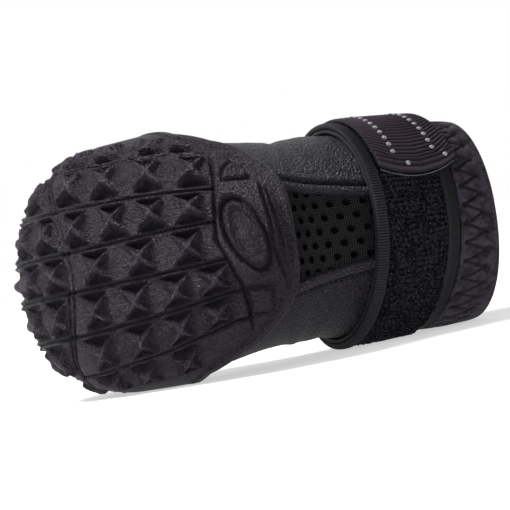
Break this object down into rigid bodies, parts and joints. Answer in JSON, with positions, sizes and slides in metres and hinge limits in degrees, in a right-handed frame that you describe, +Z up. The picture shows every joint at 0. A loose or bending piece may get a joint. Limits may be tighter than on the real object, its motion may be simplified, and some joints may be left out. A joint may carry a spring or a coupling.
{
  "type": "dog boot",
  "caption": "Dog boot lying on its side: rubber cup sole with star lugs, soft hollow upper with a back mesh window, loop band, folded closing tab and cuff.",
  "frame": {"origin": "middle of the flat spot on the sole's right side, on the floor that the boot lies on", "axes": "+X along the boot from the toe towards the collar, -Y out of the sole, +Z up, which is the shoe's own left side"},
  "size_m": [0.1176, 0.0918, 0.0642],
  "materials": {
    "sole_rubber": "matt moulded rubber with a fine leather grain",
    "upper_leather": "soft grained coated fabric",
    "insole_foam": "knit-faced foam",
    "air_mesh": "open spacer mesh",
    "strap_webbing": "flat woven tape",
    "loop_pile": "fuzzy loop pile",
    "ribbed_binding": "ribbed binding tape",
    "grosgrain_tab": "ribbed tape with pale reflective dots",
    "cuff_fabric": "zigzag stitched stretch fabric"
  },
  "bodies": {
    "root": {"sole": "sole_rubber", "upper": "upper_leather", "insole": "insole_foam", "back_mesh": "air_mesh", "strap_backing": "strap_webbing", "strap_loop": "loop_pile", "strap_binding": "ribbed_binding", "strap_tab": "grosgrain_tab", "cuff": "cuff_fabric"}
  },
  "joints": []
}
